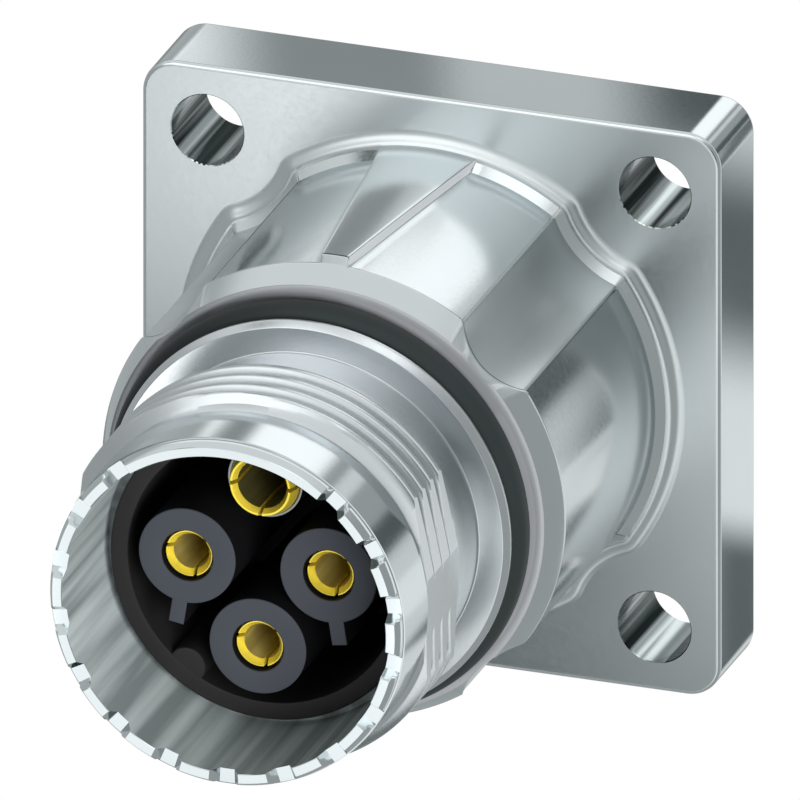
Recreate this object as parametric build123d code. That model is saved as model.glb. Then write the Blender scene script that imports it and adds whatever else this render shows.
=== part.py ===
"""Square-flange power receptacle with a coupling thread and a notched nose.

All sizes are in millimetres. Each piece is drawn round the connector's own axis, which is Z while it is
being drawn: z = 0 is the flange's rear face, +z runs out through the nose, and +y is up. At the end every
piece is turned so that +Z is up, the nose points along -Y and the origin stays at the centre of the
flange's rear face.
"""
import os
from math import acos, cos, degrees, radians, sin, sqrt

from build123d import *

# Flange
hole_pitch = 19.8
screw_hole_d = 3.2
flange_side = 25.6
flange_t = 4.4
flange_corner_r = 1.5
flange_chamfer = 0.2
seal_groove_r = 10.3
seal_groove_w = 1.6
seal_groove_depth = 1.2

# Drum between the flange and the shoulder
drum_r = 10.15
drum_len = 12.0
scallop_depth = 0.6
plinth_grow = 0.5
plinth_h = 0.35
plinth_fillet = 0.3
plinth_corner_r = 0.3
drum_fillet = 0.35
drum_corner_r = 0.1
pad_foot_w = 4.3
pad_tip_w = 1.18

# Shoulder, ring groove and disc
shoulder_r = 10.25
shoulder_land = 0.3
shoulder_cone = 1.1
shoulder_face_r = 9.65
groove_root_r = 7.78
groove_w = 1.75
disc_r = 8.9
disc_t = 0.45
disc_chamfer = 0.25
relief_r = 7.55
relief_len = 3.2

# Coupling thread: ridges as plain rings, not a helix, with two plain gaps for a quarter-turn plug
thread_r = 8.5
thread_root_r = 7.9
thread_pitch = 1.0
thread_crest = 0.12
thread_grooves = 3
thread_len = 3.55
thread_lead = 0.45
gap_r = 7.69
gap_start = -21.0
gap_end = 8.6
gap_count = 2

# Nose and its notched rim
nose_r = 7.85
nose_len = 3.45
nose_bore_r = 7.17
nose_bore_len = 5.95
rim_bevel_len = 0.5
rim_face_r = 7.6
notch_places = 18
notch_left_out = 3
notch_mouth = 1.28
notch_floor = 0.65
notch_depth = 0.51

# Housing bore, from the rear
spigot_r = 9.6
spigot_len = 3.2
spigot_chamfer = 0.3
pocket_r = 8.2
main_bore_r = 6.85
circlip_groove_r = 8.75
key_slot_w = 1.8
key_slot_r = 8.9

# Insert, stacked backwards from the seat in the housing
seat_z = 3.4
cup_collar_t = 2.15
rear_plate_t = 2.0
washer_space = 0.65
washer_t = 0.25
washer_w = 1.16
circlip_t = 0.8
circlip_gap = 34.0
circlip_eye_r = 0.8
circlip_eye_hole_r = 0.4
circlip_inner_r = 7.45
cup_r = 6.78
cup_front_below_rim = 5.05
cavity_r = 6.0
cavity_depth = 9.6
cup_front_chamfer = 0.12
key_boss_r = 0.81
key_boss_pitch_r = 5.92
key_boss_angle = 235.0
insert_seal_z = 8.6
insert_seal_cord = 0.92
insert_seal_root_r = 5.9
insert_seal_groove_w = 1.2

# Sleeves
contact_pitch_r = 3.17
contact_angles = {"left": 171.0, "right": 9.0, "lower": 270.0}
sleeve_r = 2.14
sleeve_mouth_r = 1.14
sleeve_mouth_len = 0.85
sleeve_bore_r = 1.34
sleeve_front_below_rim = 4.31
sleeve_socket_depth = 4.0
leg_w = 0.67
leg_reach = 3.15
leg_turn = {"left": 90.0, "right": -90.0}

# Contacts
contact_below_sleeve = 0.3
tine_r = 1.03
pin_bore_r = 0.78
pin_bore_len = 8.0
pin_mouth_r = 0.98
pin_mouth_len = 0.3
tine_slot_w = 0.18
tine_slot_len = 6.5
line_slots = 3
line_slot_angle = 285.0
contact_collar_r = 1.65
contact_collar_t = 1.3
barrel_r = 1.35
barrel_bore_r = 0.95
barrel_bore_len = 5.0
barrel_tail = 8.0
witness_r = 0.35
hood_wall = 0.14
hood_behind_lip = 0.75
hood_len = 7.6

# Earth contact
earth_y = 3.99
earth_lip_r = 1.34
earth_tine_r = 1.51
earth_cone_len = 0.6
earth_bore_r = 1.08
earth_mouth_r = 1.24
earth_slots = 4
earth_hood_behind_lip = 0.69
earth_collar_r = 1.9

# Earth spring
spring_t = 0.3
spring_washer_r = 2.3
spring_tongue_w = 2.0
spring_tab_len = 1.3

# Seals
cord_d = 1.5
flange_seal_stand = 0.1

# Clearances
slip = 0.05
radial_slip = 0.07
seal_slip = 0.02
overrun = 1.0

# Radii that follow from the others: a scallop is centred on its screw and bites into the drum
plinth_r = drum_r + plinth_grow
scallop_r = hole_pitch / sqrt(2) - drum_r + scallop_depth

# Levels along the axis
flange_front = flange_t
shoulder_z = flange_front + drum_len
cone_z = shoulder_z + shoulder_land
groove_z = cone_z + shoulder_cone
disc_z = groove_z + groove_w
relief_z = disc_z + disc_t
thread_z = relief_z + relief_len
lead_z = thread_z + thread_len
nose_z = lead_z + thread_lead
rim_z = nose_z + nose_len
cup_front = rim_z - cup_front_below_rim
cavity_floor = cup_front - cavity_depth
sleeve_front = rim_z - sleeve_front_below_rim
sleeve_foot = cavity_floor - sleeve_socket_depth
contact_front = sleeve_front - contact_below_sleeve
collar_rear = seat_z - cup_collar_t
plate_rear = collar_rear - rear_plate_t
circlip_front = plate_rear - washer_space
circlip_rear = circlip_front - circlip_t
collar_front = collar_rear + contact_collar_t


def turned(*corners):
    """A solid turned about the axis from its (radius, height) corners."""
    return revolve(Plane.XZ * Polygon(*corners, align=None), Axis.Z)


def tube(inner_r, outer_r, low, high):
    """A plain ring or tube between two heights."""
    return turned((inner_r, low), (outer_r, low), (outer_r, high), (inner_r, high))


def rod(radius, low, high):
    """A plain cylinder between two heights."""
    return Pos(0, 0, low) * Cylinder(radius, high - low, align=(Align.CENTER, Align.CENTER, Align.MIN))


def o_ring(centre_r, height, cord):
    """A round-section ring."""
    return revolve(Plane.XZ * Pos(centre_r, height) * Circle(cord / 2), Axis.Z)


def place(angle, pitch_r):
    """The location of a contact round the axis."""
    return Pos(pitch_r * cos(radians(angle)), pitch_r * sin(radians(angle)), 0)


contact_places = {name: place(angle, contact_pitch_r) for name, angle in contact_angles.items()}
earth_place = Pos(0, earth_y, 0)
screw_places = GridLocations(hole_pitch, hole_pitch, 2, 2)


def outline(disc_radius, bite_radius, corner_r):
    """A disc with a bite round each screw and its corners rounded."""
    shape = Circle(disc_radius)
    for spot in screw_places:
        shape -= spot * Circle(bite_radius)
    return fillet(shape.vertices(), corner_r)


def raised(body, plan, low, high, foot_r):
    """The body with a plan raised on it between two heights, and the foot blended in."""
    body += Pos(0, 0, low) * extrude(plan, high - low)
    foot = Pos(0, 0, low) * plan.wire()
    edges = [edge for edge in body.edges() if foot.distance_to(edge.position_at(0.5)) < 0.01]
    return fillet(edges, foot_r)


def flange_and_drum():
    """The flange with the plinth and the scalloped drum, blended where they meet."""
    body = extrude(RectangleRounded(flange_side, flange_side, flange_corner_r), flange_t)
    rims = body.edges().filter_by_position(Axis.Z, flange_t, flange_t)
    rims += body.edges().filter_by_position(Axis.Z, 0, 0)
    body = chamfer(rims, flange_chamfer)
    plinth = outline(plinth_r, scallop_r - plinth_grow, plinth_corner_r)
    plinth_top = flange_front + plinth_h
    body = raised(body, plinth, flange_front, plinth_top, plinth_fillet)
    return raised(body, outline(drum_r, scallop_r, drum_corner_r), plinth_top, shoulder_z, drum_fillet)


def arrow_pad():
    """The raised wedge on top of the drum, flush with the plinth and chamfered down to the shoulder."""
    plan = Polygon(
        (-pad_foot_w / 2, flange_front),
        (pad_foot_w / 2, flange_front),
        (pad_tip_w / 2, cone_z),
        (-pad_tip_w / 2, cone_z),
        align=None,
    )
    wedge = extrude(Plane.XZ * plan, -2 * drum_r)
    envelope = turned((0, 0), (plinth_r, 0), (plinth_r, shoulder_z), (shoulder_r, cone_z), (0, cone_z))
    return wedge & envelope


def shoulder_and_nose():
    """Everything turned in front of the drum, before the bore and the notches."""
    body = turned(
        (0, shoulder_z),
        (shoulder_r, shoulder_z),
        (shoulder_r, cone_z),
        (shoulder_face_r, groove_z),
        (groove_root_r, groove_z),
        (groove_root_r, disc_z),
        (disc_r, disc_z),
        (disc_r, relief_z - disc_chamfer),
        (disc_r - disc_chamfer, relief_z),
        (relief_r, relief_z),
        (relief_r, thread_z - thread_lead),
        (thread_r, thread_z),
        (thread_r, lead_z),
        (nose_r, nose_z),
        (nose_r, rim_z - rim_bevel_len),
        (rim_face_r, rim_z),
        (0, rim_z),
    )
    for spot in screw_places:
        body -= spot * rod(scallop_r, shoulder_z, groove_z)
    return body


def thread_groove(height):
    """The cutter for one V groove between two ridges."""
    half = (thread_pitch - thread_crest) / 2
    return turned(
        (thread_root_r, height),
        (thread_r, height - half),
        (thread_r + overrun, height - half),
        (thread_r + overrun, height + half),
        (thread_r, height + half),
    )


def thread_gap():
    """What one plain gap takes off the thread: a sector, and a flat that runs out tangent to it."""
    low = thread_z - thread_lead
    blank_r = thread_r + overrun
    face = Plane.XZ * Polygon((gap_r, low), (blank_r, low), (blank_r, nose_z), (gap_r, nose_z), align=None)
    sector = Rot(0, 0, gap_start) * revolve(face, Axis.Z, revolution_arc=gap_end - gap_start)
    run_out = blank_r * sin(acos(gap_r / blank_r))
    flat = Box(blank_r - gap_r, run_out, nose_z - low, align=(Align.MIN, Align.MIN, Align.MIN))
    return sector + Rot(0, 0, gap_end) * Pos(gap_r, 0, low) * flat


def notch():
    """The cutter for one notch, on the +x side of the rim."""
    shape = Polygon(
        (-notch_floor / 2, rim_z - notch_depth),
        (notch_floor / 2, rim_z - notch_depth),
        (notch_mouth / 2, rim_z),
        (notch_mouth / 2, rim_z + overrun),
        (-notch_mouth / 2, rim_z + overrun),
        (-notch_mouth / 2, rim_z),
        align=None,
    )
    return extrude(Plane.YZ.offset(nose_bore_r - overrun) * shape, nose_r - nose_bore_r + 2 * overrun)


def housing():
    """Flange, drum, thread and nose, one piece of plated metal."""
    body = flange_and_drum() + arrow_pad() + shoulder_and_nose()
    body += turned(
        (0, -spigot_len),
        (spigot_r - spigot_chamfer, -spigot_len),
        (spigot_r, spigot_chamfer - spigot_len),
        (spigot_r, seal_groove_depth),
        (0, seal_groove_depth),
    )
    for number in range(thread_grooves):
        body -= thread_groove(thread_z + (number + 1) * thread_pitch)
    for turn in range(gap_count):
        body -= Rot(0, 0, turn * 360 / gap_count) * thread_gap()
    body -= turned(
        (0, -spigot_len - overrun),
        (pocket_r, -spigot_len - overrun),
        (pocket_r, circlip_rear - slip),
        (circlip_groove_r, circlip_rear - slip),
        (circlip_groove_r, circlip_front),
        (pocket_r, circlip_front),
        (pocket_r, seat_z),
        (main_bore_r, seat_z),
        (main_bore_r, rim_z - nose_bore_len),
        (nose_bore_r, rim_z - nose_bore_len),
        (nose_bore_r, rim_z + overrun),
        (0, rim_z + overrun),
    )
    slot = Box(key_slot_w, key_slot_r, seat_z + spigot_len, align=(Align.CENTER, Align.MAX, Align.MIN))
    body -= Pos(0, 0, -spigot_len) * slot
    body -= tube(seal_groove_r, seal_groove_r + seal_groove_w, -overrun, seal_groove_depth)
    for spot in screw_places:
        body -= spot * rod(screw_hole_d / 2, -overrun, flange_front + overrun)
    pitch = 360 / notch_places
    first = 90 + (notch_left_out + 1) / 2 * pitch
    cutter = notch()
    for place_no in range(notch_places - notch_left_out):
        body -= Rot(0, 0, first + place_no * pitch) * cutter
    return body


def insert_cup():
    """The front insulator: ring lip, key boss, deep cavity, sockets for the sleeves and contact holes."""
    half_groove = insert_seal_groove_w / 2
    body = turned(
        (0, collar_rear),
        (pocket_r - radial_slip, collar_rear),
        (pocket_r - radial_slip, seat_z),
        (cup_r, seat_z),
        (cup_r, insert_seal_z - half_groove),
        (insert_seal_root_r, insert_seal_z - half_groove),
        (insert_seal_root_r, insert_seal_z + half_groove),
        (cup_r, insert_seal_z + half_groove),
        (cup_r, cup_front - cup_front_chamfer),
        (cup_r - cup_front_chamfer, cup_front),
        (cavity_r + cup_front_chamfer, cup_front),
        (cavity_r, cup_front - cup_front_chamfer),
        (cavity_r, cavity_floor),
        (0, cavity_floor),
    )
    boss = place(key_boss_angle, key_boss_pitch_r) * rod(key_boss_r, cavity_floor, cup_front)
    body += boss & rod(cup_r - cup_front_chamfer, cavity_floor, cup_front)
    key_reach = key_slot_r - 2 * radial_slip
    key = Box(key_slot_w - 2 * slip, key_reach, cup_collar_t, align=(Align.CENTER, Align.MAX, Align.MIN))
    body += Pos(0, 0, collar_rear) * (key - rod(cavity_r, 0, cup_collar_t))
    for spot in contact_places.values():
        body -= spot * rod(sleeve_r + slip, sleeve_foot, cavity_floor + overrun)
        body -= spot * rod(tine_r + radial_slip, collar_rear - overrun, sleeve_foot + overrun)
        body -= spot * rod(contact_collar_r + radial_slip, collar_rear - overrun, collar_front)
    body -= earth_place * rod(earth_hood_r() + slip, sleeve_foot, cavity_floor + overrun)
    body -= earth_place * rod(earth_tine_r + radial_slip, collar_rear - overrun, sleeve_foot + overrun)
    body -= earth_place * rod(earth_collar_r + radial_slip, collar_rear - overrun, collar_front)
    return body


def sleeve(name):
    """A slate-grey sleeve round one contact, with its key leg where it has one."""
    body = turned(
        (tine_r + hood_wall + 2 * seal_slip, sleeve_foot),
        (sleeve_r, sleeve_foot),
        (sleeve_r, sleeve_front),
        (sleeve_mouth_r, sleeve_front),
        (sleeve_mouth_r, sleeve_front - sleeve_mouth_len),
        (sleeve_bore_r, sleeve_front - sleeve_mouth_len),
        (sleeve_bore_r, contact_front - hood_behind_lip - hood_len),
        (tine_r + hood_wall + 2 * seal_slip, contact_front - hood_behind_lip - hood_len),
    )
    if name in leg_turn:
        length = sleeve_front - cavity_floor
        leg = Box(leg_reach, leg_w, length, align=(Align.MIN, Align.CENTER, Align.MIN))
        leg -= rod((sleeve_r + sleeve_bore_r) / 2, 0, length)
        body += Rot(0, 0, contact_angles[name] + leg_turn[name]) * Pos(0, 0, cavity_floor) * leg
    return contact_places[name] * body


def slotted(body, count, first_angle, slot_w, outer_r, low, high):
    """The same body with slots sawn into its front end, straight through to the bore."""
    size = (outer_r + overrun, slot_w, high - low + overrun)
    saw = Pos(0, 0, low) * Box(*size, align=(Align.MIN, Align.CENTER, Align.MIN))
    for number in range(count):
        body -= Rot(0, 0, first_angle + number * 360 / count) * saw
    return body


def barrel():
    """The crimp barrel behind the insert, with its bore and witness hole, and the collar it starts from."""
    tail = collar_rear - barrel_tail
    body = rod(barrel_r, tail, collar_rear) - rod(barrel_bore_r, tail - overrun, tail + barrel_bore_len)
    witness = Rot(90, 0, 0) * Cylinder(witness_r, 2 * barrel_r, align=(Align.CENTER, Align.CENTER, Align.MIN))
    return body - Pos(0, 0, tail + barrel_bore_len - witness_r) * witness


def line_contact(name):
    """A gold socket contact with three tines."""
    front = contact_front
    body = turned(
        (0, collar_rear),
        (contact_collar_r, collar_rear),
        (contact_collar_r, collar_front),
        (tine_r, collar_front),
        (tine_r, front),
        (pin_mouth_r, front),
        (pin_bore_r, front - pin_mouth_len),
        (pin_bore_r, front - pin_bore_len),
        (0, front - pin_bore_len - pin_bore_r / 2),
    )
    body = slotted(body, line_slots, line_slot_angle, tine_slot_w, tine_r, front - tine_slot_len, front)
    return contact_places[name] * (body + barrel())


def line_hood(name):
    """The thin steel hood round a contact's tines."""
    top = contact_front - hood_behind_lip
    inner = tine_r + seal_slip
    return contact_places[name] * tube(inner, inner + hood_wall, top - hood_len, top)


def earth_hood_r():
    """The outside radius of the earth contact's hood."""
    return earth_tine_r + seal_slip + hood_wall


def earth_contact():
    """The larger earth contact with four tines and a coned nose."""
    front = contact_front
    body = turned(
        (0, collar_rear),
        (earth_collar_r, collar_rear),
        (earth_collar_r, collar_front),
        (earth_tine_r, collar_front),
        (earth_tine_r, front - earth_cone_len),
        (earth_lip_r, front),
        (earth_mouth_r, front),
        (earth_bore_r, front - pin_mouth_len),
        (earth_bore_r, front - pin_bore_len),
        (0, front - pin_bore_len - earth_bore_r / 2),
    )
    body = slotted(body, earth_slots, 0, tine_slot_w, earth_tine_r, front - tine_slot_len, front)
    return earth_place * (body + barrel())


def earth_hood():
    """The earth contact's hood, whose edge shows round its nose."""
    top = contact_front - earth_hood_behind_lip
    return earth_place * tube(earth_tine_r + seal_slip, earth_hood_r(), top - hood_len, top)


def spring_plan(grow):
    """The flat outline of the earth spring, or of its pocket when grown."""
    reach = pocket_r - 2 * radial_slip - earth_y
    tongue = Rectangle(spring_tongue_w + 2 * grow, reach + grow, align=(Align.CENTER, Align.MIN))
    return earth_place * (Circle(spring_washer_r + grow) + tongue)


def earth_spring():
    """A strip round the earth barrel whose bent tab bears on the housing's pocket."""
    strip = extrude(spring_plan(0), -spring_t) & rod(pocket_r - radial_slip, -spring_t, 0)
    strip -= earth_place * rod(barrel_r + slip, -2 * spring_t, spring_t)
    tab = Box(spring_tongue_w, spring_t, spring_tab_len, align=(Align.CENTER, Align.MAX, Align.MAX))
    flat_reach = (pocket_r - radial_slip) * cos(acos(1 - (spring_tongue_w / 2 / pocket_r) ** 2 / 2))
    strip += Pos(0, flat_reach - radial_slip, 0) * tab
    return Pos(0, 0, collar_rear) * strip


def rear_insulator():
    """The plate that traps the contacts' collars, with a pocket for the earth spring."""
    body = rod(pocket_r - radial_slip, plate_rear, collar_rear)
    for spot in list(contact_places.values()) + [earth_place]:
        body -= spot * rod(barrel_r + radial_slip, plate_rear - overrun, collar_rear + overrun)
    pocket = extrude(spring_plan(slip), -spring_t - slip)
    body -= Pos(0, 0, collar_rear) * pocket
    edge_slot = Box(
        spring_tongue_w + 2 * slip,
        3 * spring_t,
        spring_tab_len + slip,
        align=(Align.CENTER, Align.MAX, Align.MAX),
    )
    body -= Pos(0, pocket_r + spring_t, collar_rear) * edge_slot
    return body


def curved_washer():
    """A washer bent to a shallow arc, so that it springs between the plate and the circlip."""
    outer = pocket_r - 2 * radial_slip
    inner = outer - washer_w
    rise = washer_space - washer_t - 2 * seal_slip
    bend_r = (outer ** 2 + rise ** 2) / (2 * rise)
    face = Circle(bend_r + washer_t) - Circle(bend_r)
    bent = extrude(Plane.YZ.offset(-outer - overrun) * face, 2 * (outer + overrun))
    bent = Pos(0, 0, plate_rear - seal_slip - bend_r - washer_t) * bent
    return bent & tube(inner, outer, circlip_front - overrun, plate_rear + overrun)


def retaining_ring():
    """An internal circlip with two eyes at its gap."""
    outer = circlip_groove_r - radial_slip
    body = tube(circlip_inner_r, outer, circlip_rear, circlip_front)
    beyond = 2 * outer
    half_width = beyond * sin(radians(circlip_gap / 2))
    cut = Polygon((0, 0), (-half_width, beyond), (half_width, beyond), align=None)
    body -= Pos(0, 0, circlip_rear) * extrude(cut, circlip_t)
    for side in (-1, 1):
        angle = 90 + side * (circlip_gap / 2 + degrees(circlip_eye_r / circlip_inner_r))
        spot = place(angle, circlip_inner_r - circlip_eye_hole_r)
        body += spot * rod(circlip_eye_r, circlip_rear, circlip_front)
        body -= spot * rod(circlip_eye_hole_r, circlip_rear - overrun, circlip_front + overrun)
    return body


def flange_seal():
    """The flat ring in the groove of the flange's rear face."""
    inner = seal_groove_r + slip
    return tube(inner, inner + seal_groove_w - 2 * slip, -flange_seal_stand, seal_groove_depth)


def pieces():
    """Every piece by its name, still standing on the drawing's axis."""
    made = {
        "housing": housing(),
        "front_o_ring": o_ring(groove_root_r + seal_slip + cord_d / 2, groove_z + seal_slip + cord_d / 2, cord_d),
        "insert_cup": insert_cup(),
        "insert_seal": o_ring(
            insert_seal_root_r + seal_slip + insert_seal_cord / 2,
            insert_seal_z,
            insert_seal_cord,
        ),
        "contact_earth": earth_contact(),
        "hood_earth": earth_hood(),
        "rear_insulator": rear_insulator(),
        "earth_spring": earth_spring(),
        "curved_washer": curved_washer(),
        "retaining_ring": retaining_ring(),
        "flange_seal": flange_seal(),
    }
    for name in contact_angles:
        made["sleeve_" + name] = sleeve(name)
        made["contact_" + name] = line_contact(name)
        made["hood_" + name] = line_hood(name)
    return made


os.makedirs("parts", exist_ok=True)
for node, shape in pieces().items():
    export_step(Rot(90, 0, 0) * shape, "parts/" + node + ".step")
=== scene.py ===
# %% [markdown]
# # A square-flange power connector, dressed for its portrait
#
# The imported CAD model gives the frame: every piece below sits where the frame says. The visible pieces are
# drawn again with finer curves and small rounded edges, because polished metal shows every facet and lives
# from the thin highlights along its edges. Sizes are in millimetres until a mesh is made, then in metres.

from math import acos, asin, atan2, cos, degrees, hypot, pi, radians, sin, sqrt, tan, tau

import bmesh
import bpy
from mathutils import Matrix, Vector

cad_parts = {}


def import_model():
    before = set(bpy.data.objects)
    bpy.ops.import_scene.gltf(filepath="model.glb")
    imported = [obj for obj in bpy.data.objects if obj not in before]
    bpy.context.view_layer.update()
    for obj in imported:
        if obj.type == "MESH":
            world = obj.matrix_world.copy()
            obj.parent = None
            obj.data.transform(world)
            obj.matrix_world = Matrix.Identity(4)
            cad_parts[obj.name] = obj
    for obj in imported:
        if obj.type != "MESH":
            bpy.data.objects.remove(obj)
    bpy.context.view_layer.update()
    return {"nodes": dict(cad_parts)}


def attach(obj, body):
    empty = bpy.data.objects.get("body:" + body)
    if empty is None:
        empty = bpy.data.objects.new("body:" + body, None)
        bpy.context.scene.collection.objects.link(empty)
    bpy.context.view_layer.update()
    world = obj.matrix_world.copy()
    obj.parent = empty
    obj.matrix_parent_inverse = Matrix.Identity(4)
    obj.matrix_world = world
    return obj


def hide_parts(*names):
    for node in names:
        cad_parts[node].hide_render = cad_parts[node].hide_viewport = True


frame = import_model()
print("nodes:", sorted(frame["nodes"]))


# %% A first helper
def placed(name, data):
    """A new object in the scene, which shows this mesh, curve, lamp or camera."""
    thing = bpy.data.objects.new(name, data)
    bpy.context.scene.collection.objects.link(thing)
    return thing


# %% [markdown]
# ## Camera and light first
#
# The photograph looks down on the flange from the front right, with almost no perspective, so the camera is
# orthographic. Its angles come from the ellipses that the round rims make in the picture.

# %% Camera at the photograph's angle
MM = 0.001
azimuth, elevation = radians(19.3), radians(23.6)
back = Vector((sin(azimuth) * cos(elevation), -cos(azimuth) * cos(elevation), sin(elevation)))
right = Vector((cos(azimuth), sin(azimuth), 0))
up = back.cross(right)
camera_data = bpy.data.cameras.new("portrait")
camera_data.type = "ORTHO"
camera_data.ortho_scale = 33.43 * MM
camera_data.clip_start, camera_data.clip_end = 0.01, 5
camera = placed("portrait", camera_data)
camera.rotation_euler = (-back).to_track_quat("-Z", "Y").to_euler()
camera.location = right * -2.75 * MM + up * -2.56 * MM + back * 0.3
bpy.context.scene.camera = camera
bpy.context.scene.view_settings.view_transform = "Standard"
print("camera at", [round(value, 4) for value in camera.location])

# %% [markdown]
# ## The floor, the world and the lamps
#
# The background is plain white to the camera. Reflections see a calmer studio: a light grey sweep, and cards
# with feathered edges behind and in front of the object, which draw the soft streaks on the metal. The rest
# of the light is plain and even. Writing such rules as loose Math nodes is hard to read, so a small helper
# class turns a formula into those nodes, and `added` makes any other node with its settings and its links.


# %% Formulas as nodes
class Term:
    """A socket that can stand in a formula. Each operator adds one Math node."""

    def __init__(self, tree, socket):
        self.tree, self.socket = tree, socket

    def math(self, operation, *others, swap=False):
        node = self.tree.nodes.new("ShaderNodeMath")
        node.operation = operation
        terms = list(reversed((self,) + others)) if swap else (self,) + others
        for slot, term in zip(node.inputs, terms):
            if isinstance(term, Term):
                self.tree.links.new(term.socket, slot)
            else:
                slot.default_value = term
        return Term(self.tree, node.outputs[0])

    def __add__(self, other):
        return self.math("ADD", other)

    def __sub__(self, other):
        return self.math("SUBTRACT", other)

    def __rsub__(self, other):
        return self.math("SUBTRACT", other, swap=True)

    def __mul__(self, other):
        return self.math("MULTIPLY", other)

    def __truediv__(self, other):
        return self.math("DIVIDE", other)

    def least(self, other):
        return self.math("MINIMUM", other)

    def most(self, other):
        return self.math("MAXIMUM", other)

    def over(self, other):
        return self.math("GREATER_THAN", other)


def added(tree, kind, inputs=None, **settings):
    """A new node with these settings. Each input gets a value, or a link from a term or a socket."""
    node = tree.nodes.new(kind)
    for setting, value in settings.items():
        setattr(node, setting, value)
    for name, value in (inputs or {}).items():
        if isinstance(value, Term):
            value = value.socket
        if isinstance(value, bpy.types.NodeSocket):
            tree.links.new(value, node.inputs[name])
        else:
            node.inputs[name].default_value = value
    return node


# %% What the camera, a reflection and the gathered light see of the backdrop
gathered_level = 0.3


def brightness(tree, to_camera, in_mirrors):
    """A strength that depends on who looks: the camera, a reflection, or soft light being gathered."""
    seen = tree.nodes.new("ShaderNodeLightPath").outputs
    camera_looks = Term(tree, seen["Is Camera Ray"]).most(Term(tree, seen["Is Transmission Ray"]))
    for_camera = camera_looks * (to_camera - gathered_level)
    return for_camera + Term(tree, seen["Is Glossy Ray"]) * (in_mirrors - gathered_level) + gathered_level


def glowing(name):
    """A material that only shines, with its tree, its emission node and its output."""
    material = bpy.data.materials.new(name)
    material.use_nodes = True
    material.cycles.emission_sampling = "NONE"
    tree = material.node_tree
    tree.nodes.clear()
    return material, tree, tree.nodes.new("ShaderNodeEmission"), tree.nodes.new("ShaderNodeOutputMaterial")


floor_mesh = bpy.data.meshes.new("floor")
reach, floor_z = 1.5, -0.055
floor_mesh.from_pydata(
    [(-reach, -reach, floor_z), (reach, -reach, floor_z), (reach, reach, floor_z), (-reach, reach, floor_z)],
    [],
    [(0, 1, 2, 3)],
)
floor = placed("floor", floor_mesh)
floor_material, tree, glow, out = glowing("floor_white")
tree.links.new(brightness(tree, 1.0, 0.5).socket, glow.inputs["Strength"])
tree.links.new(glow.outputs[0], out.inputs[0])
floor_mesh.materials.append(floor_material)
floor.visible_glossy = False


# %% The studio round the object, as round soft panels in the world
def panel(tree, under, toward, reach, feather, level):
    """The brightness `under`, with a round panel over it. Its reach and its soft edge are in degrees."""
    look = tree.nodes.new("ShaderNodeTexCoord")
    ways = {0: look.outputs["Generated"], 1: Vector(toward).normalized()}
    dot = added(tree, "ShaderNodeVectorMath", ways, operation="DOT_PRODUCT")
    fade = {
        "Value": dot.outputs["Value"],
        "From Min": cos(radians(reach + feather)),
        "From Max": cos(radians(reach)),
    }
    cover = added(tree, "ShaderNodeMapRange", fade, interpolation_type="SMOOTHSTEP")
    return under + Term(tree, cover.outputs["Result"]) * (level - under)


def behind(turn, deep=0.865):
    """The way to the back of the studio that the sides of the object mirror, at a turn round the axis."""
    return cos(radians(turn)) / 2, deep, sin(radians(turn)) / 2


def before(turn):
    """The same in front of the object, which its sides mirror by way of the flange."""
    return behind(turn, -0.865)


world = bpy.data.worlds.new("studio")
world.use_nodes = True
bpy.context.scene.world = world
tree = world.node_tree
sky = tree.nodes["Background"]
sky.inputs["Strength"].default_value = 1.0
plain_wall = tree.nodes.new("ShaderNodeValue").outputs[0]
plain_wall.default_value = 0.42
studio = Term(tree, plain_wall)
for toward, span, feather, level in [
    ((-0.2, 0, 1), 30, 40, 0.9),
    ((0, 1, 0), 61, 3, 1.2),
    ((0, 1, 0), 47, 5, 0.42),
    ((-0.87, 0.49, -0.07), 30, 15, 0.5),
    ((0.15, 0.49, -0.86), 26, 15, 0.42),
    ((0, -1, 0), 10, 20, 0.9),
    ((0.22, -0.49, 0.84), 8, 6, 1.6),
    (behind(-48), 20, 6, 0.8),
    (behind(220), 10, 7, 0.3),
    (behind(90), 10, 5, 1.4),
    (behind(130), 2, 3, 0.3),
    (behind(48), 2, 2, 0.9),
    (behind(10), 3, 3, 0.1),
    (before(100), 15, 8, 1.0),
    (before(5), 8, 8, 0.1),
    (before(-82), 22, 7, 1.15),
    (before(207), 6, 6, 0.2),
    ((-0.35, -0.72, 0.6), 18, 6, 1.6),
    ((-0.58, -0.31, 0.75), 3, 4, 0.05),
]:
    studio = panel(tree, studio, toward, span, feather, level)
coolness = 0.02
strength = brightness(tree, 1.05, studio)
tint = added(tree, "ShaderNodeCombineXYZ", {"X": strength - coolness, "Y": strength, "Z": strength})
tree.links.new(tint.outputs[0], sky.inputs["Color"])

# %% Node groups with named inputs and outputs
socket_kinds = {int: "NodeSocketInt", float: "NodeSocketFloat", tuple: "NodeSocketColor"}


def name_inputs(tree, values):
    """Gives a tree an input for each name. What its value is says which kind of socket it gets."""
    for name, value in values.items():
        socket = tree.interface.new_socket(name=name, in_out="INPUT", socket_type=socket_kinds[type(value)])
        socket.default_value = value


def shader_group(name, values, outputs):
    """A shader node group with its inputs and outputs, and the nodes inside it that stand for them."""
    group = bpy.data.node_groups.new(name, "ShaderNodeTree")
    name_inputs(group, values)
    for output, kind in outputs.items():
        group.interface.new_socket(name=output, in_out="OUTPUT", socket_type=socket_kinds[kind])
    return group, group.nodes.new("NodeGroupInput").outputs, group.nodes.new("NodeGroupOutput").inputs


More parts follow.
